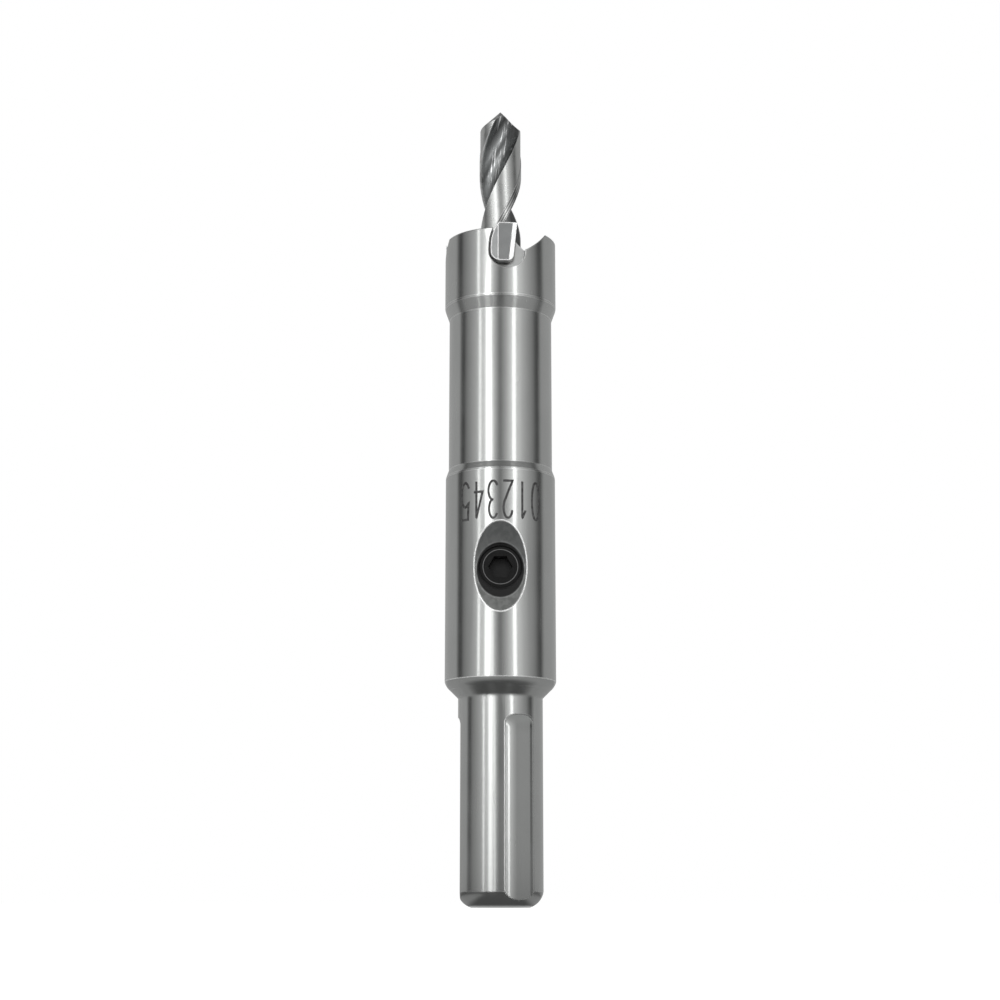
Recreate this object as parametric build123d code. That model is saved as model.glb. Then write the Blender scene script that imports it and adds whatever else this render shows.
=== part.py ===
from build123d import *
import os
from math import cos, degrees, radians, sin, sqrt, tan

# A hole saw for thin metal, with three carbide teeth brazed into a turned steel cup, a short
# twist drill at its centre and a socket set screw that holds the drill.
# Millimetres. +Z runs along the tool's axis from the shank's end face to the drill's point, the
# origin is the centre of that end face, and the side with the set screw faces -Y.
# An angle round the tool is measured from -Y towards +X, which is the way the tool cuts.

# Driving dimensions: the shank
shank_diameter = 10.0
shank_length = 24.15         # end face to the foot of the body's cone
end_face_diameter = 6.8
end_round_length = 1.8
end_round_bulge = 0.34       # how far the end's curve stands out of a straight chamfer
flat_count = 3
flat_angle = 28.0
flat_depth = 0.38
flat_length = 21.9
flat_corner_radius = 1.4

# Driving dimensions: the body
body_diameter = 13.2
body_cone_angle = 45.0
body_cone_length = 0.95
body_foot_length = 1.0       # the rounded foot between the cone and the body's side
body_foot_bulge = 0.1        # how far it stands out of a straight chamfer
body_length = 24.6
edge_break = 0.1             # chamfer on the lathe's outer edges

# Driving dimensions: the neck and the cup head
neck_step_length = 0.95
neck_length = 18.85
neck_relief = 0.55           # radius lost between the head and the neck
head_step_length = 1.55
head_length = 8.4
head_wall = 1.8
cup_depth = 26.5
cup_floor_chamfer = 0.5

# Driving dimensions: the scoop and the screw's hole
screw_height = 12.9          # screw axis above the body's foot
scoop_height = 10.8
scoop_depth = 0.78
screw_diameter = 5.0
screw_sink = 0.2             # screw's outer end below the floor of the scoop
screw_clearance = 0.02
screw_face_diameter = 4.15
screw_point_chamfer = 0.7
socket_across_flats = 2.5
socket_depth = 2.0
hole_mouth_diameter = 5.5

# Driving dimensions: the drill
drill_diameter = 5.2
drill_length = 66.0
drill_lead = 17.75           # point beyond the cup's rim
drill_clearance = 0.02
drill_flat_depth = 1.1
drill_flat_length = 8.0
drill_end_chamfer = 0.3
flute_length = 27.0
flute_runout = 6.0
flute_turn = 11.4            # degrees for each millimetre of length
web_thickness = 1.3
land_angle = 84.0
margin_width = 0.95
margin_height = 0.08
margin_set_back = 0.03       # from the flute's edge, which is left sharp
point_angle = 105.0
point_relief = 10.0
lip_angle = -13.5            # where the first cutting lip meets the drill's side

# Driving dimensions: the teeth, their pockets and the gullets
cutting_diameter = 14.0
tooth_count = 3
first_tooth_angle = 3.7
tooth_side_clearance = 0.2   # teeth beyond the head's side
tooth_inner_reach = 0.85     # teeth into the cup's bore
tooth_rise = 0.6             # teeth above the rim
tooth_width = 3.2
tooth_height = 4.85
tooth_rake = 6.0
tooth_heel_corner = 1.15     # radius of the foot's corner under the heel
tooth_front_corner = 0.8     # and under the cutting edge
tooth_top_width = 2.25
tooth_heel_drop = 3.0
tooth_land_width = 0.48
tooth_relief_width = 1.85
land_facet_angle = 11.5
primary_facet_angle = 1.2
heel_facet_angle = 10.8
tooth_top_fall = 8.0
braze_thickness = 0.12
braze_bead = 0.08            # bead of solder above the pocket's floor
pocket_width = 4.5
pocket_turn = 3.4            # pocket's middle ahead of the tooth's middle
pocket_gap = 0.25            # and its edge round the tooth's heel
pocket_margin = 0.8          # pocket's foot below the tooth's foot
pocket_wall = 0.55           # steel left between the pocket's floor and the bore
gullet_foot_offset = 2.65    # the gullet's foot ahead of the tooth's middle
gullet_peak_offset = 5.2     # and its far end at the rim
gullet_depth = 2.62
gullet_flank_angle = 46.0
gullet_sag = 0.2             # hollow of the gullet's long flank

# Heights and radii that follow
shank_radius = shank_diameter / 2
body_radius = body_diameter / 2
tip_radius = cutting_diameter / 2
head_radius = tip_radius - tooth_side_clearance
neck_radius = head_radius - neck_relief
bore_radius = head_radius - head_wall
drill_radius = drill_diameter / 2
socket_radius = drill_radius + drill_clearance
screw_radius = screw_diameter / 2

cone_top = shank_length + body_cone_length
cone_top_radius = shank_radius + body_cone_length * tan(radians(body_cone_angle))
body_foot = cone_top + body_foot_length
body_top = body_foot + body_length
neck_foot = body_top + neck_step_length
neck_top = neck_foot + neck_length
head_foot = neck_top + head_step_length
rim = head_foot + head_length
cup_floor = rim - cup_depth
drill_point = rim + drill_lead
drill_foot = drill_point - drill_length
screw_level = body_foot + screw_height
scoop_floor = body_radius - scoop_depth
screw_outer = scoop_floor - screw_sink
screw_inner = drill_radius - drill_flat_depth
tooth_top = rim + tooth_rise
tooth_foot = tooth_top - tooth_height
pocket_floor = bore_radius + pocket_wall
overcut = 1.0                # how far a cutter runs past what it cuts


def outward(angle):
    """Unit vector away from the axis at an angle round the tool."""
    return Vector(sin(radians(angle)), -cos(radians(angle)), 0)


def side_plane(angle, distance=0.0):
    """Plane that faces outwards: its x runs round the tool, its y up, its z outwards."""
    return Plane(
        origin=outward(angle) * distance,
        x_dir=outward(angle + 90),
        z_dir=outward(angle),
    )


def disc(radius, bottom, top):
    """Cylinder on the tool's axis between two heights."""
    return Cylinder(radius, top - bottom, align=(Align.CENTER, Align.CENTER, Align.MIN)).moved(
        Location((0, 0, bottom))
    )


def bulged(start, end, bulge):
    """Middle point of an arc that stands out of its chord, on the side away from the axis."""
    start, end = Vector(*start), Vector(*end)
    along = (end - start).normalized()
    middle = (start + end) / 2 + Vector(along.Y, -along.X) * bulge
    return (middle.X, middle.Y)


def turned_blank():
    """The lathe's work: shank, cone, body, neck and head as one revolved profile."""
    end_face = (end_face_diameter / 2, 0)
    end_round = (shank_radius, end_round_length)
    foot_start = (cone_top_radius, cone_top)
    foot_end = (body_radius, body_foot)
    with BuildSketch(Plane.XZ) as profile:
        with BuildLine():
            Polyline((0, rim), (0, 0), end_face)
            ThreePointArc(end_face, bulged(end_face, end_round, end_round_bulge), end_round)
            Polyline(end_round, (shank_radius, shank_length), foot_start)
            ThreePointArc(foot_start, bulged(foot_start, foot_end, body_foot_bulge), foot_end)
            Polyline(
                foot_end,
                (body_radius, body_top),
                (neck_radius, neck_foot),
                (neck_radius, neck_top),
                (head_radius, head_foot),
                (head_radius, rim),
                (0, rim),
            )
        make_face()
        for level in (body_top, head_foot, rim):
            corners = profile.vertices().filter_by_position(Axis.Y, level - edge_break, level + edge_break)
            chamfer(corners.sort_by(Axis.X)[-1], edge_break)
    return revolve(profile.sketch, Axis.Z)


def cup_and_socket():
    """The bored cup with its chamfered floor, and the blind socket for the drill below it."""
    cup = disc(bore_radius, cup_floor, rim + overcut)
    cup = chamfer(cup.edges().sort_by(Axis.Z)[0], cup_floor_chamfer)
    return cup + disc(socket_radius, drill_foot, cup_floor + overcut)


def shank_flats():
    """Flats along the shank's end, with the round corners that the cutter leaves at their tops."""
    flat_distance = shank_radius - flat_depth
    flat_width = 2 * sqrt(shank_radius**2 - flat_distance**2)
    cutters = []
    for index in range(flat_count):
        plane = side_plane(flat_angle + index * 360 / flat_count, flat_distance)
        with BuildSketch(plane) as outline:
            with Locations((0, (flat_length - overcut) / 2)):
                blank = Rectangle(flat_width + 2 * edge_break, flat_length + overcut)
            fillet(blank.vertices().group_by(Axis.Z)[-1], flat_corner_radius)
        cutters.append(extrude(outline.sketch, flat_depth + overcut))
    return cutters


def scoop():
    """Shallow hollow across the body, as a disc cutter leaves it, round the set screw."""
    disc_radius = (scoop_height**2 / 4 + scoop_depth**2) / (2 * scoop_depth)
    cutter = Cylinder(disc_radius, body_diameter + 2 * overcut, rotation=(0, 90, 0))
    return cutter.moved(Location((0, -scoop_floor - disc_radius, screw_level)))


def screw_hole():
    """Threaded hole at its major diameter from the drill's socket out to the scoop."""
    radius = screw_radius + screw_clearance
    mouth_radius = hole_mouth_diameter / 2
    flare = mouth_radius - radius
    with BuildSketch(side_plane(-90)) as profile:
        with BuildLine():
            Polyline(
                (0, 0),
                (0, radius),
                (scoop_floor - flare, radius),
                (scoop_floor, mouth_radius),
                (body_radius + overcut, mouth_radius),
                (body_radius + overcut, 0),
                close=True,
            )
        make_face()
    turned = revolve(profile.sketch, Axis.Y)
    return turned.moved(Location((0, 0, screw_level)))


def tooth_outline(grow=0.0):
    """A tooth seen from outside: a leaning rake edge, a round foot and a heel that curves away."""
    right = tooth_width / 2
    left = -right
    lean = tooth_height * tan(radians(tooth_rake))
    top_left = right - tooth_top_width
    heel_start = tooth_top - tooth_heel_drop
    with BuildSketch() as outline:
        with BuildLine():
            Polyline(
                (top_left, tooth_top),
                (right, tooth_top),
                (right - lean, tooth_foot),
                (left, tooth_foot),
                (left, heel_start),
            )
            TangentArc((left, heel_start), (top_left, tooth_top), tangent=(0, 1))
        make_face()
        for side, radius in ((0, tooth_heel_corner), (-1, tooth_front_corner)):
            foot_corners = outline.vertices().group_by(Axis.Y)[0].sort_by(Axis.X)
            fillet(foot_corners[side], radius)
        if grow:
            offset(amount=grow)
    return outline.sketch


def relief_plan():
    """A tooth seen from above before its land is ground: a primary facet and a heel facet."""
    right = tooth_width / 2
    land_left = right - tooth_land_width
    land_end = land_level()
    relief_left = land_left - tooth_relief_width
    relief_end = land_end + tooth_relief_width * tan(radians(primary_facet_angle))
    inner = bore_radius - tooth_inner_reach
    return [
        (right + overcut, inner),
        (right + overcut, land_end - (tooth_land_width + overcut) * tan(radians(primary_facet_angle))),
        (relief_left, relief_end),
        (-right, relief_end - (relief_left + right) * tan(radians(heel_facet_angle))),
        (-right, inner),
    ]


def land_level():
    """Distance from the axis, square to the tooth, of the line between its land and its relief."""
    right = tooth_width / 2
    return sqrt(tip_radius**2 - right**2) + tooth_land_width * tan(radians(land_facet_angle))


def land_plan():
    """What the land's grinding takes off the tooth's corner, seen from above at the cut's top."""
    step = overcut * tan(radians(tooth_rake))
    left = tooth_width / 2 - tooth_land_width + step
    start = land_level() - step * tan(radians(primary_facet_angle))
    reach = tooth_land_width + 2 * overcut
    return [
        (left, start),
        (left + reach, start - reach * tan(radians(land_facet_angle))),
        (left + reach, start + overcut),
        (left, start + overcut),
    ]


def carbide_tip(angle):
    """One tooth: its outline run outwards, ground to its facets and its sloping top."""
    blank = extrude(side_plane(angle) * tooth_outline(), tip_radius + overcut)
    above = tooth_top + overcut
    depth = tooth_height + 2 * overcut
    plan = Plane(origin=(0, 0, above), x_dir=outward(angle + 90), z_dir=(0, 0, -1))
    ground = extrude(plan * make_face(Polyline(*relief_plan(), close=True)), depth)
    land_lean = outward(angle) * tan(radians(primary_facet_angle)) - outward(angle + 90)
    lean = land_lean * tan(radians(tooth_rake)) - Vector(0, 0, 1)
    land = extrude(plan * make_face(Polyline(*land_plan(), close=True)), 2 * depth, dir=lean)
    fall = tan(radians(tooth_top_fall))
    top = side_plane(angle - 90) * make_face(
        Polyline(
            (0, tooth_top - tip_radius * fall),
            (tip_radius + overcut, tooth_top + overcut * fall),
            (tip_radius + overcut, above),
            (0, above),
            close=True,
        )
    )
    return (blank & ground) - land - extrude(top, tooth_width, both=True)


def pocket(angle):
    """Recess for a tooth: a round, flat-floored cut in front of its foot and a gap round its heel."""
    radius = pocket_width / 2
    reach = head_radius - pocket_floor + overcut
    middle = (0, tooth_foot - pocket_margin + radius)
    front = side_plane(angle + pocket_turn, pocket_floor) * Pos(*middle) * Circle(radius)
    heel = side_plane(angle, pocket_floor) * tooth_outline(pocket_gap)
    return extrude(front, reach) + extrude(heel, reach)


def gullet(angle):
    """Chip space in front of a tooth, cut along it: a short flank, a foot and a long hollow flank."""
    foot = (gullet_foot_offset, rim - gullet_depth)
    peak = (gullet_peak_offset, rim)
    rise = gullet_depth + overcut
    outline = make_face(
        [
            ThreePointArc(foot, bulged(foot, peak, gullet_sag), peak),
            Polyline(
                peak,
                (gullet_peak_offset + overcut, rim + overcut),
                (gullet_foot_offset - rise / tan(radians(gullet_flank_angle)), rim + overcut),
                foot,
            ),
        ]
    )
    return extrude(side_plane(angle) * outline, head_radius + overcut)


def seat(angle):
    """Slot through the cup's wall that takes a tooth with its layer of solder."""
    return extrude(side_plane(angle) * tooth_outline(braze_thickness), head_radius + overcut)


def braze_seam(angle):
    """Solder that fills the seat round a tooth, with a low bead above the pocket's floor."""
    ring = tooth_outline(braze_thickness) - tooth_outline()
    seam = extrude(side_plane(angle) * ring, pocket_floor + braze_bead)
    seam -= gullet(angle)
    seam -= disc(bore_radius, tooth_foot - overcut, tooth_top + overcut)
    seam -= disc(tip_radius, rim, tooth_top + 2 * overcut)
    return seam


def tooth_angles():
    return [first_tooth_angle + index * 360 / tooth_count for index in range(tooth_count)]


def cutter_body():
    """The one steel piece: turned, bored, tapped and milled."""
    steel = turned_blank() - cup_and_socket() - scoop() - screw_hole()
    for cutter in shank_flats():
        steel -= cutter
    for angle in tooth_angles():
        steel -= pocket(angle)
        steel -= seat(angle)
        steel -= gullet(angle)
    return steel


def polar(radius, angle):
    """Point in a section at an angle that grows the way the tool cuts, from its x axis."""
    return Vector(radius * cos(radians(angle)), radius * sin(radians(angle)))


def sector(start, end, inner, outer):
    """Closed slice of a ring between two angles, with a straight outer side past the drill."""
    return make_face(
        [
            ThreePointArc(polar(inner, start), polar(inner, (start + end) / 2), polar(inner, end)),
            Polyline(polar(inner, end), polar(outer, end), polar(outer, start), polar(inner, start)),
        ]
    )


def fluted_section():
    """Drill's section before it is ground round: two flutes cut out of an oversize disc."""
    outer = drill_radius + overcut
    flute_angle = 180 - land_angle
    section = make_face(CenterArc((0, 0), outer, 0, 360))
    for lead in (0, 180):
        heel = lead + flute_angle
        section -= make_face(
            [
                ThreePointArc(
                    polar(drill_radius, lead),
                    polar(web_thickness / 2, lead + flute_angle / 2),
                    polar(drill_radius, heel),
                ),
                Polyline(
                    polar(drill_radius, heel),
                    polar(2 * outer, heel),
                    polar(2 * outer, lead),
                    polar(drill_radius, lead),
                ),
            ]
        )
    return section


def wound(section, radius):
    """A section wound up the drill with the flutes and ground round to a radius."""
    foot = drill_point - flute_length
    length = flute_length + overcut
    lip_level = drill_point - drill_radius / tan(radians(point_angle / 2))
    start = lip_angle - 90 - flute_turn * (lip_level - foot)
    turned = Plane(origin=(0, 0, foot)) * (Rotation(0, 0, start) * section)
    bar = Solid.extrude_linear_with_rotation(
        turned.faces()[0], (0, 0, foot), (0, 0, length), flute_turn * length
    )
    return bar & disc(radius, foot - overcut, drill_point + 2 * overcut)


def fluted_bar():
    """The fluted bar with a raised margin along each cutting side. It ends above the point."""
    body = drill_radius - margin_height
    margin_angle = degrees(margin_width / drill_radius)
    set_back = degrees(margin_set_back / drill_radius)
    bar = wound(fluted_section(), body)
    for lead in (180, 360):
        bar += wound(
            sector(lead - margin_angle, lead - set_back, body - 2 * margin_height, drill_radius + overcut),
            drill_radius,
        )
    return bar


def flute_end():
    """The core that fills the flutes in a long curve at their foot, as the grinding wheel does."""
    foot = drill_point - flute_length
    top = foot + flute_runout
    core = web_thickness / 2
    with BuildSketch(Plane.XZ) as profile:
        with BuildLine():
            Line((0, drill_foot), (drill_radius, drill_foot))
            Line((drill_radius, drill_foot), (drill_radius, foot))
            TangentArc((core, top), (drill_radius, foot), tangent=(0, -1))
            Line((core, top), (0, top))
            Line((0, top), (0, drill_foot))
        make_face()
    return revolve(profile.sketch, Axis.Z)


def point_cone(side):
    """Cone that grinds one flank of the point, tipped so that it falls away behind the lip."""
    height = 1.5 * drill_length
    cone = Cone(
        height * tan(radians(point_angle / 2)), 0, height, align=(Align.CENTER, Align.CENTER, Align.MAX)
    )
    lip_line = Axis((0, 0, 0), tuple(outward(lip_angle + side)))
    return cone.rotate(lip_line, -point_relief).moved(Location((0, 0, drill_point)))


def pilot_drill():
    drill = fluted_bar() + flute_end()
    drill = drill & point_cone(0)
    drill = drill & point_cone(180)
    bottom = drill.edges().filter_by(GeomType.CIRCLE).sort_by(Axis.Z)[0]
    drill = chamfer(bottom, drill_end_chamfer)
    flat_cutter = Box(
        drill_diameter + overcut, drill_flat_depth + overcut, drill_flat_length,
        align=(Align.CENTER, Align.MAX, Align.CENTER),
    ).moved(Location((0, -screw_inner, screw_level)))
    return drill - flat_cutter


def grub_screw():
    """Set screw at its thread's major diameter, with a hexagon socket and chamfered ends."""
    face = screw_face_diameter / 2
    face_chamfer = screw_radius - face
    point = screw_radius - screw_point_chamfer
    with BuildSketch(side_plane(-90)) as profile:
        with BuildLine():
            Polyline(
                (screw_inner, 0),
                (screw_inner, point),
                (screw_inner + screw_point_chamfer, screw_radius),
                (screw_outer - face_chamfer, screw_radius),
                (screw_outer, face),
                (screw_outer, 0),
                close=True,
            )
        make_face()
    turned = revolve(profile.sketch, Axis.Y)
    with BuildSketch(side_plane(0, screw_outer - socket_depth)) as hexagon:
        RegularPolygon(socket_across_flats / 2, 6, major_radius=False)
    turned -= extrude(hexagon.sketch, socket_depth + overcut)
    return turned.moved(Location((0, 0, screw_level)))


def write(name, piece):
    """One STEP file for each piece, named as the piece is."""
    solids = piece.solids()
    piece = solids[0] if len(solids) == 1 else Compound(solids)
    piece.label = name
    export_step(piece, f"parts/{name}.step")


os.makedirs("parts", exist_ok=True)
write("cutter_body", cutter_body())
for number, angle in enumerate(tooth_angles(), start=1):
    write(f"carbide_tip_{number}", carbide_tip(angle))
    write(f"braze_{number}", braze_seam(angle))
write("pilot_drill", pilot_drill())
write("grub_screw", grub_screw())
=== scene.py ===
import bpy
import numpy as np
from math import cos, pi, radians, sin
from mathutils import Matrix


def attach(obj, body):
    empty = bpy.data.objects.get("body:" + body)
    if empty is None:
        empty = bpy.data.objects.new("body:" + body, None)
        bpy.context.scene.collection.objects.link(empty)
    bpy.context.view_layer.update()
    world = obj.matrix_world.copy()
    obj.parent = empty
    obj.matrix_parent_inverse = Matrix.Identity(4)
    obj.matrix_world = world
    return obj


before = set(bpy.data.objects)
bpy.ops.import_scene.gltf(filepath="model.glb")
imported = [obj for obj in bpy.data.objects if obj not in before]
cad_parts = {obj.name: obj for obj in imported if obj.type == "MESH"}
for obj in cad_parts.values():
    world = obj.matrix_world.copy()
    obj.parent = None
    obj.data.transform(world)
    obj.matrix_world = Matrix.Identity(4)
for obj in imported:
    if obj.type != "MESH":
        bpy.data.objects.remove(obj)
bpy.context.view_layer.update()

# The finishes and the marks of a hole saw, round the turned, brazed and ground solids of its frame.
# Metres. +Z runs from the shank's end to the drill's point, and the set screw faces -Y.
# An angle round the tool is measured from -Y towards +X.

MM = 0.001

# Sizes of the solids that the finishes and the marks follow
SHANK_RADIUS = 5.0 * MM
SHANK_TOP = 24.15 * MM
BODY_FOOT = 26.1 * MM
BODY_RADIUS = 6.6 * MM
HEAD_RADIUS = 6.8 * MM
BORE_RADIUS = 5.0 * MM
SCOOP_BACK = -4.5 * MM
SCOOP_HALF_HEIGHT = 5.4 * MM
CUP_FLOOR = 53.95 * MM
SCREW_LEVEL = 39.0 * MM
SCREW_FACE_RADIUS = 2.03 * MM
SCREW_FACE = -5.62 * MM
SOCKET_RADIUS = 1.6 * MM
POCKET_FOOT = 75.4 * MM

# Depths below the turned surface over which the finish comes to take the steel as cut
CUT_START = 0.02 * MM
CUT_FULL = 0.06 * MM

# How far the finishes round an edge over, and how wide a painted highlight runs along it
EDGE_ROUND = 0.17 * MM
SHANK_CORNER_ROUND = 0.5 * MM
SHANK_CORNER_REACH = 0.8 * MM
SCOOP_RIM_WIDTH = 0.24 * MM
TOOTH_OUTLINE_WIDTH = 0.28 * MM
TOOTH_LINE_WIDTH = 0.16 * MM
SOLDER_ROUND = 0.1 * MM
DRILL_ROUND = 0.08 * MM
DRILL_LINE_WIDTH = 0.1 * MM
SCREW_ROUND = 0.05 * MM

# The shank's three flats
FLAT_REACH = 4.62 * MM
FLAT_TOP = 21.9 * MM
FLAT_TURN = radians(28)
FLAT_PITCH = 2 * pi / 3
FLAT_TOLERANCE = 0.01 * MM

# How polishing has eased each flat, in mm and per mm across it from its middle line
EASED_FROM = -0.3
EASED_TO = -1.8
EASED_CURVE = 0.144
EASED_TILT = 0.07
FAR_EDGE = 1.42
FAR_EDGE_WIDTH = 0.3
FAR_EDGE_FALL = 0.27

# The painted shadow round the set screw, which lies a little lower than the screw
SHADOW_HALF_WIDTH = 2.82 * MM
SHADOW_HALF_HEIGHT = 3.32 * MM
SHADOW_LEVEL = SCREW_LEVEL - 0.42 * MM
SHADOW_SOFT = 0.12 * MM

# The painted highlight in a ring round the set screw's face
RING_OUTER = SCREW_FACE_RADIUS + 0.04 * MM
RING_INNER = SCREW_FACE_RADIUS - 0.02 * MM
RING_SOFT = 0.03 * MM

# The drill's helix, as its flutes were wound, and the lines on its margins. Its angles run from
# +X towards +Y.
DRILL_RADIUS = 2.6 * MM
DRILL_POINT = 98.2 * MM
FLUTE_TURN = radians(11.4) / MM
LIP_LEVEL = 96.2 * MM
LIP_ANGLE = radians(-103.5)
POINT_SLOPE = 1.3
MARGIN_START = pi - radians(24)
MARGIN_FULL = pi - radians(22)
MARGIN_LINE_PITCH = radians(7)

# The band of numerals above the scoop
NUMERALS = "012345"
NUMERAL_FOOT = 49.1 * MM
NUMERAL_HEIGHT = 4.45 * MM
NUMERAL_WIDTH = 1.25 * MM
NUMERAL_PITCH = 15.6
NUMERAL_STROKE = 0.35 * MM
NUMERAL_LIFT = 0.012 * MM
STROKE_STEP = 0.15 * MM

# Colours, in linear light. Where there are two, the grain of the finish mixes them.
WHITE = (1, 1, 1, 1)
STEEL = (0.54, 0.55, 0.54, 1), (0.58, 0.59, 0.58, 1)
SCOOP_STEEL = (0.38, 0.39, 0.38, 1), (0.52, 0.53, 0.52, 1)
SCOOP_PAINTED_SHADE = (0.14, 0.145, 0.15, 1)
MILLED_STEEL = (0.66, 0.67, 0.66, 1), (0.78, 0.79, 0.78, 1)
FLAT_TOP_SHADE = (0.4, 0.41, 0.4, 1)
EDGE_HIGHLIGHT = (0.99, 1, 0.99, 1)
BORE_SHADE = (0.12, 0.12, 0.12, 1)
SCREW_SHADOW = (0.008, 0.008, 0.008, 1)
CARBIDE = (0.4, 0.41, 0.41, 1), (0.48, 0.49, 0.49, 1)
CARBIDE_UNDERSIDE_SHADE = (0.22, 0.22, 0.22, 1)
SOLDER = (0.42, 0.42, 0.41, 1), (0.22, 0.22, 0.22, 1)
DRILL_LAND = (0.56, 0.57, 0.56, 1), (0.62, 0.63, 0.62, 1)
DRILL_FLUTE = (0.15, 0.155, 0.155, 1), (0.32, 0.33, 0.33, 1)
DRILL_PAINTED_GLINT = (0.95, 0.96, 0.96, 1)
DRILL_EDGE_HIGHLIGHT = (0.95, 0.95, 0.95, 1)
MARGIN_LINE = (0.2, 0.2, 0.2, 1)
SCREW_BLACK = (0.004, 0.004, 0.004, 1), (0.007, 0.007, 0.007, 1)
SCREW_SIDE = (0.02, 0.02, 0.02, 1)
SCREW_SOCKET = (0.015, 0.015, 0.015, 1)
SCREW_RING_HIGHLIGHT = (0.15, 0.15, 0.15, 1)
STROKE_BLACK = (0.02, 0.02, 0.02, 1), (0.07, 0.07, 0.07, 1)
FLOOR_PAINT = (0.8, 0.8, 0.8, 1)

# The studio
FLOOR_LEVEL = -0.02 * MM
FLOOR_REACH = 6.0
FLOOR_GLOW = 0.63
AMBIENT_LEVEL = 0.5
TENT_RADIUS = 0.34
TENT_HEIGHT = 0.36
TENT_SIDES = 72
CEILING_LEVEL = 0.2
MAT_HEIGHT = 0.001 * MM
MAT_INNER = 7.5 * MM
MAT_DARK = 0.09
MAT_SIDE = 0.33
MAT_RING = 0.36
MAT_UNDER_SHANK = 0.5
LAMP_DISTANCE = 0.3

# Brightness of the tent's wall by the angle round the tool, from -180 to 180 degrees
WALL_LEVELS = [
    (-180, 0.46), (-103, 0.45), (-97, 0.1), (-88, 0.06), (-82, 0.26), (-70, 0.4),
    (-56, 0.6), (-38, 0.95), (-18, 0.95), (-8, 0.5), (-1, 0.2), (6, 0.42),
    (13, 0.6), (22, 1.0), (42, 0.9), (50, 0.66), (64, 0.44), (76, 0.3),
    (84, 0.12), (92, 0.05), (97, 0.24), (102, 0.42), (180, 0.46),
]


def link(piece):
    bpy.context.scene.collection.objects.link(piece)
    return piece


def grid_faces(rows, columns, closed=False):
    """Quads of a grid of points, row after row. A closed grid joins its last column to its first."""
    across = np.arange(columns if closed else columns - 1)
    first = np.arange(rows - 1)[:, None] * columns
    here = first + across
    beside = first + (across + 1) % columns
    return np.stack([here, beside, beside + columns, here + columns], axis=-1).reshape(-1, 4)


def new_piece(name, points, faces, material, smooth=True):
    """Piece at the origin, with its place in its points."""
    mesh = bpy.data.meshes.new(name)
    mesh.from_pydata(points.reshape(-1, 3).tolist(), [], np.asarray(faces).tolist())
    mesh.polygons.foreach_set("use_smooth", np.full(len(mesh.polygons), smooth))
    mesh.update()
    mesh.materials.append(material)
    return link(bpy.data.objects.new(name, mesh))


def node(tree, kind, sockets=None, **settings):
    """Adds a node: its settings first, then each socket's value, or the link that feeds it."""
    added = tree.nodes.new(kind)
    for key, value in settings.items():
        setattr(added, key, value)
    for key, value in (sockets or {}).items():
        if isinstance(value, bpy.types.NodeSocket):
            tree.links.new(value, added.inputs[key])
        else:
            added.inputs[key].default_value = value
    return added


def new_material(name):
    made = bpy.data.materials.new(name)
    made.use_nodes = True
    made.node_tree.nodes.clear()
    return made, made.node_tree


def calc(tree, operation, *values):
    return node(tree, "ShaderNodeMath", dict(enumerate(values)), operation=operation).outputs[0]


def product(tree, first, *others):
    for other in others:
        first = calc(tree, "MULTIPLY", first, other)
    return first


def without(tree, share):
    """What a share leaves of one."""
    return calc(tree, "SUBTRACT", 1.0, share)


def near(tree, value, middle, within):
    """One where a value is within a distance of the middle."""
    return calc(tree, "COMPARE", value, middle, within)


def fade(tree, value, start, end, low=0.0, high=1.0):
    """Value between start and end as a smooth step between low and high."""
    sockets = {"Value": value, "From Min": start, "From Max": end, "To Min": low, "To Max": high}
    return node(tree, "ShaderNodeMapRange", sockets, interpolation_type="SMOOTHSTEP").outputs["Result"]


def blend(tree, share, first, second):
    """Mixes two colours."""
    return node(tree, "ShaderNodeMix", {0: share, 6: first, 7: second}, data_type="RGBA").outputs[2]


def grain(tree, position, scale, detail=3.0):
    """Noise whose grains are 1 / scale metres long along each axis."""
    placed = node(tree, "ShaderNodeMapping", {"Vector": position, "Scale": scale}).outputs[0]
    sockets = {"Vector": placed, "Scale": 1.0, "Detail": detail, "Roughness": 0.55}
    return node(tree, "ShaderNodeTexNoise", sockets).outputs["Fac"]


def on_piece(tree):
    return node(tree, "ShaderNodeTexCoord").outputs["Object"]


def split(tree, vector):
    """The x, y and z of a vector."""
    return node(tree, "ShaderNodeSeparateXYZ", {0: vector}).outputs


def from_axis(tree, axis):
    """Distance of a point from the tool's axis."""
    flat = node(tree, "ShaderNodeCombineXYZ", {0: axis[0], 1: axis[1]}).outputs[0]
    return node(tree, "ShaderNodeVectorMath", {0: flat}, operation="LENGTH").outputs["Value"]


def turn_round(tree, axis):
    """Angle of a point round the tool, from -Y towards +X."""
    return calc(tree, "ARCTAN2", axis[0], calc(tree, "MULTIPLY", axis[1], -1.0))


def cut_below(tree, reach, radius):
    """One where the steel is cut away below a turned radius."""
    return fade(tree, reach, radius - CUT_START, radius - CUT_FULL)


def worn_edges(tree, width):
    """Normal that rounds the sharp edges over by a width, as a file or use leaves them."""
    return node(tree, "ShaderNodeBevel", {"Radius": width}, samples=4).outputs[0]


def highlight_edges(tree, width, least=0.9996, full=0.997):
    """One along the edges between faces, within a width, where a painted highlight goes.

    It grows as a face's own normal and its rounded one part: their dot product falls from least
    to full.
    """
    face = node(tree, "ShaderNodeNewGeometry").outputs["Normal"]
    rounded = worn_edges(tree, width)
    agreement = node(tree, "ShaderNodeVectorMath", {0: face, 1: rounded}, operation="DOT_PRODUCT")
    return fade(tree, agreement.outputs["Value"], least, full)


def relief(tree, height, depth, strength, normal):
    """Normal of a height, which is counted in steps of a depth, over another normal."""
    sockets = {"Height": height, "Distance": depth, "Strength": strength, "Normal": normal}
    return node(tree, "ShaderNodeBump", sockets).outputs[0]


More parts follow.
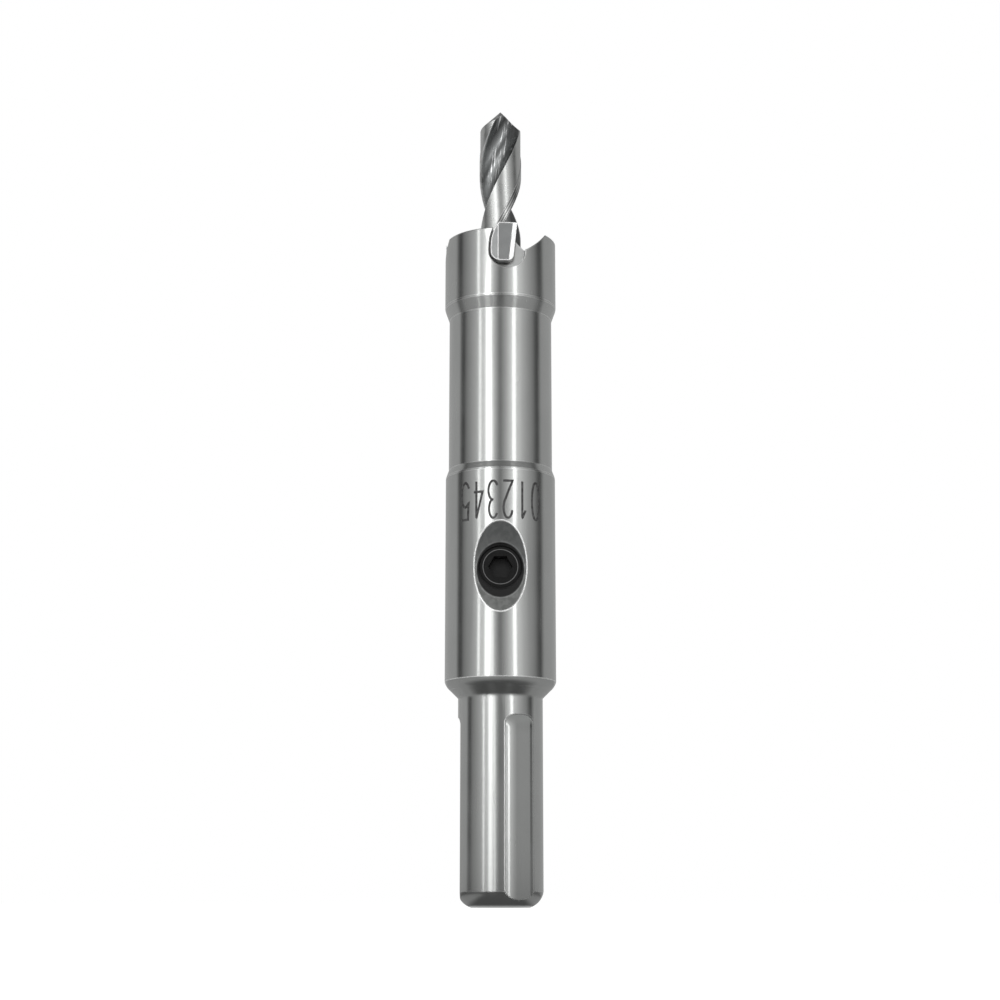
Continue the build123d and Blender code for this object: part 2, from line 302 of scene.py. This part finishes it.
def surface(tree, sockets):
    """Shader with its output. Plain values go on its own sockets."""
    shader = node(tree, "ShaderNodeBsdfPrincipled", sockets).outputs[0]
    node(tree, "ShaderNodeOutputMaterial", {0: shader})


def metal(tree, sockets):
    surface(tree, {"Metallic": 1.0, **sockets})


def disc_mask(tree, axis, across, up, level, soft=0.1 * MM):
    """One inside an ellipse on the tool's front, drawn in its own x and z about a level."""
    x = calc(tree, "DIVIDE", axis[0], across)
    z = calc(tree, "DIVIDE", calc(tree, "SUBTRACT", axis[2], level), up)
    reach = calc(tree, "SQRT", calc(tree, "ADD", product(tree, x, x), product(tree, z, z)))
    return fade(tree, reach, 1 + soft / across, 1 - soft / across)


def from_flats(tree, axis, reach):
    """Where a point lies by the nearest of the shank's three flats: across it in mm, and outward."""
    turn = calc(tree, "ADD", turn_round(tree, axis), FLAT_PITCH / 2 - FLAT_TURN)
    turn = calc(tree, "FLOORED_MODULO", turn, FLAT_PITCH)
    turn = calc(tree, "SUBTRACT", turn, FLAT_PITCH / 2)
    across = calc(tree, "DIVIDE", product(tree, reach, calc(tree, "SINE", turn)), MM)
    outward = product(tree, reach, calc(tree, "COSINE", turn))
    return across, outward


def eased_flats(tree, axis, across, outward):
    """Height over the flats in mm, as polishing has eased them, and the share of it that holds.

    It tilts evenly, falls with the square of the way to the near edge, and falls straight over
    the strip at the far edge.
    """
    on_flat = product(
        tree,
        near(tree, outward, FLAT_REACH, FLAT_TOLERANCE),
        fade(tree, axis[2], FLAT_TOP - 0.2 * MM, FLAT_TOP - 1.6 * MM),
        fade(tree, across, EASED_TO, EASED_TO + 0.12),
    )
    near_edge = calc(tree, "MAXIMUM", calc(tree, "SUBTRACT", EASED_FROM, across), 0.0)
    fall = product(tree, near_edge, near_edge, -EASED_CURVE)
    height = calc(tree, "MULTIPLY_ADD", across, -EASED_TILT, fall)
    far_edge = calc(tree, "MAXIMUM", calc(tree, "SUBTRACT", across, FAR_EDGE), 0.0)
    far_edge = calc(tree, "MINIMUM", far_edge, FAR_EDGE_WIDTH)
    return calc(tree, "MULTIPLY_ADD", far_edge, -FAR_EDGE_FALL, height), on_flat


def flat_end_highlights(tree, axis, reach, across, outward):
    """One on the small walls that close the flats at their top, as a painted highlight, less so
    towards their right.
    """
    return product(
        tree,
        fade(tree, outward, FLAT_REACH + 0.02 * MM, FLAT_REACH + 0.05 * MM),
        fade(tree, reach, SHANK_RADIUS - 0.01 * MM, SHANK_RADIUS - 0.04 * MM),
        near(tree, axis[2], FLAT_TOP, 1.5 * MM),
        fade(tree, across, 0.9, 1.4, 1.0, 0.35),
    )


def turned_steel():
    """Fine turned steel: rings round the tool, milled scoop and pockets, painted shade, shadow and
    highlights.
    """
    made, tree = new_material("turned_steel")
    position = on_piece(tree)
    axis = split(tree, position)
    reach = from_axis(tree, axis)
    across, outward = from_flats(tree, axis, reach)
    rings = grain(tree, position, (40, 40, 14000), detail=2.0)
    smudges = grain(tree, position, (260, 260, 160), detail=5.0)
    scratches = grain(tree, position, (2500, 2500, 120), detail=4.0)
    mottle = grain(tree, position, (1500, 1500, 1500), detail=4.0)

    # Where each kind of cut lies, and where shade and shadow are painted
    front = fade(tree, axis[1], SCOOP_BACK, SCOOP_BACK - 0.1 * MM)
    beside_screw = near(tree, axis[2], SCREW_LEVEL, SCOOP_HALF_HEIGHT + 0.1 * MM)
    in_scoop = product(tree, front, cut_below(tree, reach, BODY_RADIUS), beside_screw)
    # Painted shade over the scoop, growing from just below the set screw upwards
    painted_shade_above_screw = fade(tree, axis[2], SCREW_LEVEL - 2 * MM, SCREW_LEVEL + 4 * MM)
    # Painted shadow round the set screw, in the scoop only
    screw_shadow = disc_mask(tree, axis, SHADOW_HALF_WIDTH, SHADOW_HALF_HEIGHT, SHADOW_LEVEL, SHADOW_SOFT)
    screw_shadow = product(tree, screw_shadow, in_scoop)
    milled = product(
        tree,
        cut_below(tree, reach, HEAD_RADIUS),
        fade(tree, axis[2], POCKET_FOOT - 0.1 * MM, POCKET_FOOT),
    )
    # Painted shade inside the cup's bore
    inside = product(
        tree,
        fade(tree, reach, BORE_RADIUS + 0.1 * MM, BORE_RADIUS - 0.02 * MM),
        fade(tree, axis[2], CUP_FLOOR - 1 * MM, CUP_FLOOR - 0.9 * MM),
    )
    # Painted shade on each flat, growing towards the wall that closes its top
    shade_below_wall = product(
        tree,
        near(tree, outward, FLAT_REACH, FLAT_TOLERANCE),
        fade(tree, axis[2], FLAT_TOP - 2.5 * MM, FLAT_TOP, 0.0, 0.6),
    )

    # Edges with a painted highlight along them. The shank's top corner is soft and has none.
    corner = near(tree, axis[2], SHANK_TOP, SHANK_CORNER_REACH)
    edges = product(
        tree, highlight_edges(tree, EDGE_ROUND), without(tree, corner), without(tree, in_scoop)
    )
    outer = fade(tree, reach, BODY_RADIUS - 0.14 * MM, BODY_RADIUS - 0.1 * MM)
    scoop_rim_highlight = product(tree, highlight_edges(tree, SCOOP_RIM_WIDTH), outer, front, beside_screw)
    foot_highlight = product(tree, edges, near(tree, axis[2], BODY_FOOT, 0.3 * MM), 0.5)
    # The scoop's rim, the body's foot and the flats' top walls carry a painted highlight
    rim = calc(tree, "MAXIMUM", scoop_rim_highlight, foot_highlight)
    rim = calc(tree, "MAXIMUM", rim, flat_end_highlights(tree, axis, reach, across, outward))
    # Painted highlight: the edges in part, the rims in full
    pale = calc(tree, "MAXIMUM", calc(tree, "MULTIPLY", edges, 0.65), rim)

    steel = blend(tree, fade(tree, smudges, 0.3, 0.7), *STEEL)
    floor = blend(tree, fade(tree, mottle, 0.35, 0.65), *SCOOP_STEEL)
    # Painted shade on the scoop, stronger towards its top
    floor = blend(tree, calc(tree, "MULTIPLY", painted_shade_above_screw, 0.6), floor, SCOOP_PAINTED_SHADE)
    steel = blend(tree, in_scoop, steel, floor)
    steel = blend(tree, milled, steel, blend(tree, mottle, *MILLED_STEEL))
    steel = blend(tree, shade_below_wall, steel, FLAT_TOP_SHADE)
    # Painted highlight along edges and rims
    steel = blend(tree, pale, steel, EDGE_HIGHLIGHT)
    # Painted shadow round the set screw
    steel = blend(tree, screw_shadow, steel, SCREW_SHADOW)
    steel = blend(tree, inside, steel, BORE_SHADE)
    # Metal share: lowered for the rims' painted highlight and for the painted shadow round the screw
    bare = product(tree, calc(tree, "MULTIPLY_ADD", rim, -0.8, 1.0), without(tree, screw_shadow))

    rough = fade(tree, smudges, 0.35, 0.75, 0.21, 0.26)
    rough = calc(tree, "ADD", rough, fade(tree, scratches, 0.55, 0.8, 0.0, 0.05))
    for place, more in ((in_scoop, 0.2), (milled, 0.1), (edges, 0.06)):
        rough = calc(tree, "ADD", rough, calc(tree, "MULTIPLY", place, more))

    wider = SHANK_CORNER_ROUND - EDGE_ROUND
    rounded = worn_edges(tree, calc(tree, "MULTIPLY_ADD", corner, wider, EDGE_ROUND))
    eased, on_flat = eased_flats(tree, axis, across, outward)
    eased = relief(tree, eased, 1 * MM, on_flat, rounded)
    height = calc(tree, "ADD", rings, product(tree, mottle, in_scoop, 6.0))
    around = node(tree, "ShaderNodeTangent", direction_type="RADIAL", axis="Z").outputs[0]
    metal(tree, {
        "Base Color": steel,
        "Metallic": bare,
        "Roughness": rough,
        "Normal": relief(tree, height, 0.0016 * MM, 0.6, eased),
        "Tangent": around,
        "Anisotropic": 0.85,
        "Anisotropic Rotation": 0.25,
    })
    return made


def ground_carbide():
    """Cemented carbide, ground: a grey with fine wheel lines, painted edge highlights and painted
    shade below.
    """
    made, tree = new_material("carbide")
    position = on_piece(tree)
    lines = grain(tree, position, (9000, 9000, 300))
    clouds = grain(tree, position, (900, 900, 900), detail=4.0)
    # Painted highlight along the tooth's outline and its other edges
    outline = highlight_edges(tree, TOOTH_OUTLINE_WIDTH, 0.978, 0.92)
    edges = calc(tree, "MAXIMUM", outline, highlight_edges(tree, TOOTH_LINE_WIDTH, 0.9997, 0.9985))
    facing = split(tree, node(tree, "ShaderNodeNewGeometry").outputs["True Normal"])[2]
    colour = blend(tree, clouds, *CARBIDE)
    colour = blend(tree, edges, colour, WHITE)
    # Painted shade on the faces that look down
    colour = blend(tree, fade(tree, facing, -0.2, -0.4), colour, CARBIDE_UNDERSIDE_SHADE)
    rough = fade(tree, clouds, 0.3, 0.7, 0.13, 0.19)
    rough = calc(tree, "ADD", rough, calc(tree, "MULTIPLY", edges, 0.35))
    metal(tree, {
        "Base Color": colour,
        "Metallic": calc(tree, "MULTIPLY_ADD", edges, -0.8, 1.0),
        "Roughness": rough,
        "Normal": relief(tree, lines, 0.002 * MM, 0.5, worn_edges(tree, EDGE_ROUND)),
    })
    return made


def silver_solder():
    """Silver solder that has flowed: smooth, pale, a little wavy, burnt dark in patches."""
    made, tree = new_material("silver_solder")
    position = on_piece(tree)
    waves = grain(tree, position, (2200, 2200, 2200), detail=2.0)
    tarnish = grain(tree, position, (900, 900, 1400), detail=5.0)
    metal(tree, {
        "Base Color": blend(tree, fade(tree, tarnish, 0.45, 0.7), *SOLDER),
        "Roughness": fade(tree, tarnish, 0.4, 0.7, 0.25, 0.42),
        "Normal": relief(tree, waves, 0.02 * MM, 0.5, worn_edges(tree, SOLDER_ROUND)),
    })
    return made


def wound(tree, along, third):
    """Place that turns with the drill's helix: an angle as a point on a circle, and a third value."""
    sockets = {0: calc(tree, "COSINE", along), 1: calc(tree, "SINE", along), 2: third}
    return node(tree, "ShaderNodeCombineXYZ", sockets).outputs[0]


def ground_drill():
    """Ground high-speed steel: bright lands with margin lines, darker flutes with wheel streaks and
    painted glints.
    """
    made, tree = new_material("ground_steel")
    position = on_piece(tree)
    axis = split(tree, position)
    reach = from_axis(tree, axis)
    clouds = grain(tree, position, (700, 700, 700), detail=4.0)

    # The angle from the lip, counted along the helix
    angle = calc(tree, "ARCTAN2", axis[1], axis[0])
    helix = product(tree, calc(tree, "SUBTRACT", axis[2], LIP_LEVEL), FLUTE_TURN)
    along = calc(tree, "SUBTRACT", calc(tree, "SUBTRACT", angle, helix), LIP_ANGLE)
    section = calc(tree, "FLOORED_MODULO", along, pi)
    streaks = grain(tree, wound(tree, along, product(tree, reach, 700)), (9, 9, 9))
    glint_dashes = grain(tree, wound(tree, along, product(tree, axis[2], 55)), (7, 7, 7), detail=1.0)

    # How deep a point lies below the drill's round, or below its cone near the point
    cone = product(tree, calc(tree, "SUBTRACT", DRILL_POINT, axis[2]), POINT_SLOPE)
    depth = calc(tree, "SUBTRACT", calc(tree, "MINIMUM", cone, DRILL_RADIUS), reach)
    in_flute = fade(tree, depth, 0.12 * MM, 0.3 * MM)

    ridges = calc(tree, "SINE", product(tree, section, 2 * pi / MARGIN_LINE_PITCH))
    lines = product(
        tree,
        fade(tree, section, MARGIN_START, MARGIN_FULL),
        fade(tree, ridges, -0.2, 0.6),
        fade(tree, axis[2], LIP_LEVEL - 6.5 * MM, LIP_LEVEL - 9 * MM),
        without(tree, in_flute),
    )
    # Painted highlight along the drill's edges
    edges = highlight_edges(tree, DRILL_LINE_WIDTH)
    land = blend(tree, lines, blend(tree, clouds, *DRILL_LAND), MARGIN_LINE)
    flute = blend(tree, streaks, *DRILL_FLUTE)
    # Painted glints in the flutes, short dashes along the helix
    flute = blend(tree, fade(tree, glint_dashes, 0.6, 0.64), flute, DRILL_PAINTED_GLINT)
    colour = blend(tree, in_flute, land, flute)
    colour = blend(tree, calc(tree, "MULTIPLY", edges, 0.8), colour, DRILL_EDGE_HIGHLIGHT)
    height = product(tree, streaks, in_flute)
    metal(tree, {
        "Base Color": colour,
        "Roughness": fade(tree, clouds, 0.3, 0.7, 0.26, 0.32),
        "Normal": relief(tree, height, 0.005 * MM, 0.5, worn_edges(tree, DRILL_ROUND)),
    })
    return made


def black_oxide():
    """Black oxide on steel: nearly black, with a thin ring of painted highlight where its face starts.
    """
    made, tree = new_material("black_oxide")
    position = on_piece(tree)
    axis = split(tree, position)
    clouds = grain(tree, position, (1400, 1400, 1400), detail=4.0)
    wide = disc_mask(tree, axis, RING_OUTER, RING_OUTER, SCREW_LEVEL, RING_SOFT)
    narrow = disc_mask(tree, axis, RING_INNER, RING_INNER, SCREW_LEVEL, RING_SOFT)
    socket = product(
        tree,
        disc_mask(tree, axis, SOCKET_RADIUS, SOCKET_RADIUS, SCREW_LEVEL),
        fade(tree, axis[1], SCREW_FACE + 0.1 * MM, SCREW_FACE + 0.2 * MM),
    )
    colour = blend(tree, wide, SCREW_SIDE, blend(tree, clouds, *SCREW_BLACK))
    colour = blend(tree, socket, colour, SCREW_SOCKET)
    # Painted highlight in a thin ring round the face
    colour = blend(tree, calc(tree, "SUBTRACT", wide, narrow), colour, SCREW_RING_HIGHLIGHT)
    surface(tree, {
        "Base Color": colour,
        "Roughness": fade(tree, clouds, 0.3, 0.7, 0.34, 0.46),
        "Normal": relief(tree, clouds, 0.006 * MM, 0.4, worn_edges(tree, SCREW_ROUND)),
        "Specular IOR Level": 0.15,
    })
    return made


def engraved_black():
    """Burnt bottom of an engraved stroke: dark, matt, uneven."""
    made, tree = new_material("engraved_black")
    clouds = grain(tree, on_piece(tree), (3000, 3000, 3000), detail=4.0)
    colour = blend(tree, fade(tree, clouds, 0.35, 0.7), *STROKE_BLACK)
    surface(tree, {"Base Color": colour, "Roughness": 0.6})
    return made


def finish_node(name, material):
    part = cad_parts[name]
    part.data.materials.clear()
    part.data.materials.append(material)


def arc(middle, across, up, start, end, count=24):
    """Points of an ellipse about a middle, from one angle to another, counted from its right."""
    turn = np.radians(np.linspace(start, end, count))
    return np.stack([middle[0] + across * np.cos(turn), middle[1] + up * np.sin(turn)], axis=-1)


def numeral_strokes():
    """Each numeral as single strokes in a box one unit wide and one unit tall."""
    line = np.array
    return {
        "0": [arc((0.5, 0.5), 0.45, 0.5, 0, 360, 48)],
        "1": [line([(0.2, 0.78), (0.55, 1.0), (0.55, 0.0)])],
        "2": [
            np.concatenate([
                arc((0.5, 0.72), 0.42, 0.28, 165, -35),
                line([(0.08, 0.0), (0.95, 0.0)]),
            ])
        ],
        "3": [
            np.concatenate([
                arc((0.46, 0.75), 0.4, 0.25, 150, -80),
                arc((0.46, 0.26), 0.46, 0.26, 80, -150),
            ])
        ],
        "4": [line([(0.95, 0.28), (0.05, 0.28), (0.68, 1.0), (0.68, 0.0)])],
        "5": [
            np.concatenate([
                line([(0.88, 1.0), (0.18, 1.0), (0.12, 0.56)]),
                arc((0.48, 0.33), 0.45, 0.33, 135, -150),
            ])
        ],
    }


def finer(line):
    """A line whose segments are cut into equal steps: as many as fit, and two at least."""
    run = np.diff(line, axis=0)
    steps = np.maximum((np.hypot(run[:, 0], run[:, 1]) / STROKE_STEP).astype(int), 2)
    segment = np.repeat(np.arange(len(steps)), steps)
    before = np.cumsum(steps) - steps
    share = (np.arange(steps.sum()) - before[segment] + 1) / steps[segment]
    return np.concatenate([line[:1], line[segment] + run[segment] * share[:, None]])


def ribbon(line, width):
    """A stroke's outline: its line moved sideways by half a width, mitred at its bends."""
    step = np.diff(line, axis=0)
    step /= np.linalg.norm(step, axis=1)[:, None]
    side = np.stack([-step[:, 1], step[:, 0]], axis=-1)
    before = np.concatenate([side[:1], side])
    after = np.concatenate([side, side[-1:]])
    mitre = before + after
    mitre /= np.maximum((mitre * before).sum(axis=1), 0.6)[:, None]
    return np.stack([line - mitre * width / 2, line + mitre * width / 2], axis=1)


def stroke_mesh(line, turn):
    """A stroke laid on the body: x becomes an angle round it, and its rim sinks into the steel."""
    edges = ribbon(finer(line), NUMERAL_STROKE)
    lift = NUMERAL_LIFT * np.array([-1.0, 1.0, 1.0, 1.0, -1.0])[None, :]
    across = np.linspace(0, 1, lift.size)[None, :, None]
    flat = edges[:, :1] * (1 - across) + edges[:, 1:] * across
    angle = turn + flat[..., 0] / BODY_RADIUS
    radius = BODY_RADIUS + lift
    points = np.stack([radius * np.sin(angle), -radius * np.cos(angle), flat[..., 1]], axis=-1)
    return points.reshape(-1, 3), grid_faces(len(edges), lift.size)[:, ::-1]


def engraved_numerals():
    """A row of plain numerals round the body above the scoop, read with the drill pointing down.

    So each stroke's x and z run backwards, from its numeral's middle and foot.
    """
    strokes = numeral_strokes()
    points, faces, count = [], [], 0
    for index, figure in enumerate(NUMERALS):
        turn = -radians((index - (len(NUMERALS) - 1) / 2) * NUMERAL_PITCH)
        for unit in strokes[figure]:
            line = np.stack([
                -(unit[:, 0] - 0.5) * NUMERAL_WIDTH,
                NUMERAL_FOOT - unit[:, 1] * NUMERAL_HEIGHT,
            ], axis=-1)
            laid, quads = stroke_mesh(line, turn)
            points.append(laid)
            faces.append(quads + count)
            count += len(laid)
    points, faces = np.concatenate(points), np.concatenate(faces)
    piece = new_piece("numerals", points, faces, engraved_black())
    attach(piece, "root")


def camera():
    """The photograph's view: before the tool's foot, just above the floor, looking up."""
    data = bpy.data.cameras.new("camera")
    data.sensor_width = 36
    data.lens = 68.4
    data.clip_start = 0.005
    data.clip_end = 20
    eye = link(bpy.data.objects.new("camera", data))
    eye.location = (-0.05 * MM, -224.5 * MM, 0.44 * MM)
    eye.rotation_euler = (radians(90 + 12), 0, 0)
    bpy.context.scene.camera = eye


def seen(tree):
    """One for the rays that show the background: those from the camera, and off or through gloss."""
    path = node(tree, "ShaderNodeLightPath").outputs
    shown = calc(tree, "MAXIMUM", path["Is Camera Ray"], path["Is Glossy Ray"])
    return calc(tree, "MAXIMUM", shown, path["Is Transmission Ray"])


def pale_world():
    """White where it's seen, and a grey light from all round otherwise."""
    world = bpy.data.worlds.new("studio")
    world.use_nodes = True
    bpy.context.scene.world = world
    tree = world.node_tree
    tree.nodes.clear()
    ambient = node(tree, "ShaderNodeBackground", {0: WHITE, 1: AMBIENT_LEVEL}).outputs[0]
    white = node(tree, "ShaderNodeBackground", {0: WHITE, 1: 1.0}).outputs[0]
    both = node(tree, "ShaderNodeMixShader", {0: seen(tree), 1: ambient, 2: white}).outputs[0]
    node(tree, "ShaderNodeOutputWorld", {0: both})


def pale_floor():
    """White floor under the shank's end, a flat square. It keeps the tool's shadow."""
    made, tree = new_material("floor")
    paint = node(tree, "ShaderNodeBsdfDiffuse", {0: FLOOR_PAINT}).outputs[0]
    glow = node(tree, "ShaderNodeEmission", {0: WHITE, 1: FLOOR_GLOW}).outputs[0]
    lit = node(tree, "ShaderNodeAddShader", {0: paint, 1: glow}).outputs[0]
    shown = node(tree, "ShaderNodeMixShader", {0: seen(tree), 1: paint, 2: lit}).outputs[0]
    node(tree, "ShaderNodeOutputMaterial", {0: shown})
    corners = np.array([(-1, -1, 0), (1, -1, 0), (1, 1, 0), (-1, 1, 0)]) * FLOOR_REACH
    corners[:, 2] = FLOOR_LEVEL
    floor = new_piece("floor", corners, [(0, 1, 2, 3)], made, smooth=False)


def glowing(tree, colour, strength=1.0):
    """Glow with its output."""
    glow = node(tree, "ShaderNodeEmission", {0: colour, 1: strength}).outputs[0]
    node(tree, "ShaderNodeOutputMaterial", {0: glow})


def wall_material():
    """The wall's glow follows the angle round the tool through a ramp of greys."""
    made, tree = new_material("tent_wall")
    angle = turn_round(tree, split(tree, on_piece(tree)))
    sockets = {"Value": angle, "From Min": -pi, "From Max": pi}
    share = node(tree, "ShaderNodeMapRange", sockets).outputs[0]
    ramp = node(tree, "ShaderNodeValToRGB", {0: share})
    ramp.color_ramp.interpolation = "LINEAR"
    stops = ramp.color_ramp.elements
    while len(stops) < len(WALL_LEVELS):
        stops.new(0.5)
    for stop, (azimuth, level) in zip(stops, WALL_LEVELS):
        stop.position = (azimuth + 180) / 360
        stop.color = (level, level, level, 1)
    glowing(tree, ramp.outputs[0])
    return made


def ceiling_material():
    made, tree = new_material("tent_ceiling")
    glowing(tree, WHITE, CEILING_LEVEL)
    return made


def mat_material():
    """Greys of the mat. The faces that look down mirror it, and all of them seen from above."""
    made, tree = new_material("tent_mat")
    axis = split(tree, on_piece(tree))
    reach = from_axis(tree, axis)
    aside = calc(tree, "ABSOLUTE", axis[0])
    by_shank = calc(tree, "LESS_THAN", reach, MAT_INNER)

    # Round the shank: dark before and behind it, lighter aside
    inner = product(tree, fade(tree, aside, 3.0 * MM, 4.6 * MM, 0.1, 0.3), by_shank)

    # Farther out: dark before the tool, lighter aside, behind and in a wide ring
    to_sides = fade(tree, aside, 14 * MM, 40 * MM, MAT_DARK, MAT_SIDE)
    behind = fade(tree, axis[1], 0.0, 7 * MM, 0.0, MAT_SIDE)
    wide_ring = product(
        tree,
        fade(tree, reach, 22 * MM, 36 * MM, 0.0, MAT_RING),
        fade(tree, reach, 150 * MM, 125 * MM),
    )
    far = calc(tree, "MAXIMUM", calc(tree, "MAXIMUM", to_sides, behind), wide_ring)
    far = product(tree, far, without(tree, by_shank))

    # Under the shank's end: pale
    under = fade(tree, reach, 3.9 * MM, 3.7 * MM, 0.0, MAT_UNDER_SHANK)
    glowing(tree, calc(tree, "MAXIMUM", calc(tree, "ADD", inner, far), under))
    return made


def tent():
    """Grey tent round the tool, which shows only in gloss.

    Its wall is a ring of points carried straight up. Its ceiling and mat are fans from the
    middle out to that ring.
    """
    turn = np.linspace(0, 2 * pi, TENT_SIDES, endpoint=False)
    ring = np.stack([np.sin(turn), -np.cos(turn), np.zeros(TENT_SIDES)], axis=-1) * TENT_RADIUS
    fan = np.stack([ring * 0.0, ring])
    top = (0, 0, TENT_HEIGHT)
    for name, points, material in (
        ("tent_wall", np.stack([ring, ring + top]), wall_material()),
        ("tent_ceiling", fan + top, ceiling_material()),
        ("tent_mat", fan + (0, 0, MAT_HEIGHT), mat_material()),
    ):
        sheet = new_piece(name, points, grid_faces(2, TENT_SIDES, closed=True), material)
        sheet.visible_camera = False
        sheet.visible_diffuse = False
        sheet.visible_shadow = False


def strip_light(name, azimuth, half_angle, level, top=0.31, lean=0.0):
    """Upright soft lamp turned to the tool's axis. Its level is the brightness of its face.

    Seen from the tool's front, a lean above zero tips its top to the right, and one below zero
    to the left.
    """
    width = 2 * LAMP_DISTANCE * np.tan(radians(half_angle))
    data = bpy.data.lights.new(name, "AREA")
    data.shape = "RECTANGLE"
    data.size = width
    data.size_y = top
    data.energy = level * pi * width * top
    lamp = link(bpy.data.objects.new(name, data))
    turn = radians(azimuth)
    lamp.location = (LAMP_DISTANCE * sin(turn), -LAMP_DISTANCE * cos(turn), top / 2)
    lamp.rotation_euler = (pi / 2, radians(lean), turn)
    lamp.visible_camera = False


def front_fill():
    """Broad lamp before the tool that only the matt surfaces take up."""
    data = bpy.data.lights.new("front_fill", "AREA")
    data.size = 0.3
    data.energy = 1.8
    lamp = link(bpy.data.objects.new("front_fill", data))
    lamp.location = (0, -0.5, 0.12)
    lamp.rotation_euler = (radians(82), 0, 0)
    lamp.visible_camera = False
    lamp.visible_glossy = False


def studio():
    camera()
    pale_world()
    pale_floor()
    tent()
    strip_light("strip_left", azimuth=-27, half_angle=5.5, level=1.6)
    strip_light("strip_left_leaning", azimuth=-19.2, half_angle=2.5, level=1.4, top=0.2, lean=-18)
    strip_light("strip_left_narrow", azimuth=-46, half_angle=1.7, level=1.7)
    strip_light("strip_right", azimuth=30.2, half_angle=2.9, level=2.0)
    front_fill()


studio()
finish_node("cutter_body", turned_steel())
carbide = ground_carbide()
solder = silver_solder()
for number in (1, 2, 3):
    finish_node(f"carbide_tip_{number}", carbide)
    finish_node(f"braze_{number}", solder)
finish_node("pilot_drill", ground_drill())
finish_node("grub_screw", black_oxide())
engraved_numerals()

bpy.context.scene.view_settings.view_transform = "Standard"
